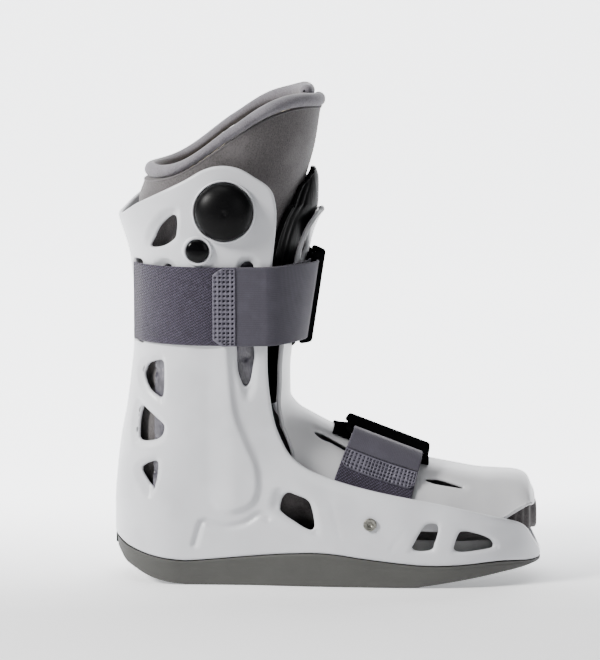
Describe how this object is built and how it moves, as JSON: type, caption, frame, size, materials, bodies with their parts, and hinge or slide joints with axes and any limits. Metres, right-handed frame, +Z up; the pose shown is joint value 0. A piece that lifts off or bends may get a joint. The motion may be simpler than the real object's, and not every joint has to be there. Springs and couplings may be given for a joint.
{
  "type": "medical walking boot",
  "caption": "Short walking boot for an injured ankle: vented hard shell with front cover, rocker sole, padded liner with a hand air pump, and ringed calf and forefoot straps.",
  "frame": {"origin": "middle of the flat stretch of the sole, on the surface that the boot stands on", "axes": "+X to the toe, +Z up, the side with the air pump at -Y"},
  "size_m": [0.2987, 0.1414, 0.3433],
  "materials": {
    "shell_plastic": "light grey moulded plastic with a fine texture and a soft satin sheen",
    "cover_plastic": "light grey moulded plastic, a little darker than the shell",
    "sole_rubber": "mid grey matte rubber",
    "liner_knit": "warm grey brushed knit over foam",
    "binding_knit": "lighter grey stretch knit binding",
    "lining_mesh": "beige perforated lining",
    "pad_black": "black smooth-skinned foam",
    "cell_film": "purple grey glossy film",
    "pump_rubber": "black satin rubber",
    "button_gloss": "glossy black plastic",
    "strap_loop": "purple grey brushed loop",
    "hook_tab": "lighter purple grey tab with rows of small holes",
    "ring_black": "black moulded plastic",
    "screw_metal": "dull steel"
  },
  "bodies": {
    "boot": {"rear_shell": "shell_plastic", "front_panel": "cover_plastic", "outsole": "sole_rubber", "liner": "liner_knit", "liner_binding": "binding_knit", "liner_lining": "lining_mesh", "shin_pad": "pad_black", "air_cell_near": "cell_film", "air_cell_far": "cell_film", "pump_bulb": "pump_rubber", "calf_strap": "strap_loop", "calf_hook_tab": "hook_tab", "calf_ring": "ring_black", "calf_ring_pad": "pad_black", "calf_anchor_strap": "strap_loop", "foot_strap": "strap_loop", "foot_hook_tab": "hook_tab", "foot_ring": "ring_black", "foot_ring_pad": "pad_black", "foot_anchor_strap": "strap_loop", "screw_near": "screw_metal", "screw_far": "screw_metal"},
    "button": {"release_button": "button_gloss"}
  },
  "joints": [
    {"name": "button_press", "type": "slide", "parent": "boot", "child": "button", "axis": [0, 1, 0], "range_m": [0, 0.002], "stiffness_N_per_m": 600, "springref_m": -0.001}
  ]
}
